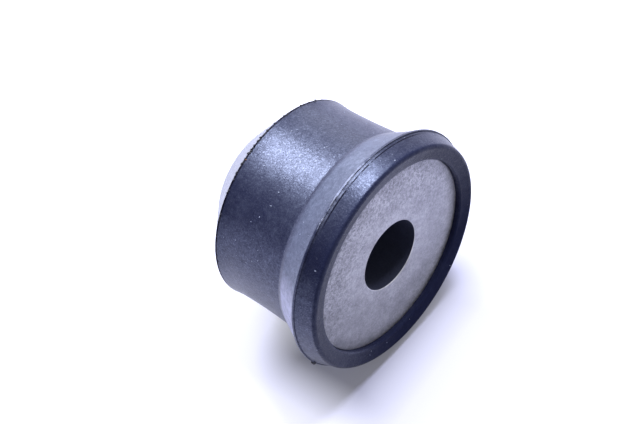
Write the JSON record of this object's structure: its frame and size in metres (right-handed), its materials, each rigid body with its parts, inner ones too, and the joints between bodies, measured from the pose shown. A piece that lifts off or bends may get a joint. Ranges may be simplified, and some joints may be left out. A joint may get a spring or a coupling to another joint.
{
  "type": "bonded rubber metal bush",
  "caption": "Flanged rubber bush bonded to a steel sleeve with a flat plate face, a through bore and a tapered nose.",
  "frame": {"origin": "centre of the small end of the steel sleeve, which it stands on", "axes": "+Z along the bore, from the tapered nose up to the flange and its steel plate"},
  "size_m": [0.0348, 0.0348, 0.0251],
  "materials": {
    "rubber": "satin black, moulded, with a little dust",
    "steel": "grey, blasted, fine grain"
  },
  "bodies": {
    "root": {"rubber_body": "rubber", "steel_sleeve": "steel"}
  },
  "joints": []
}
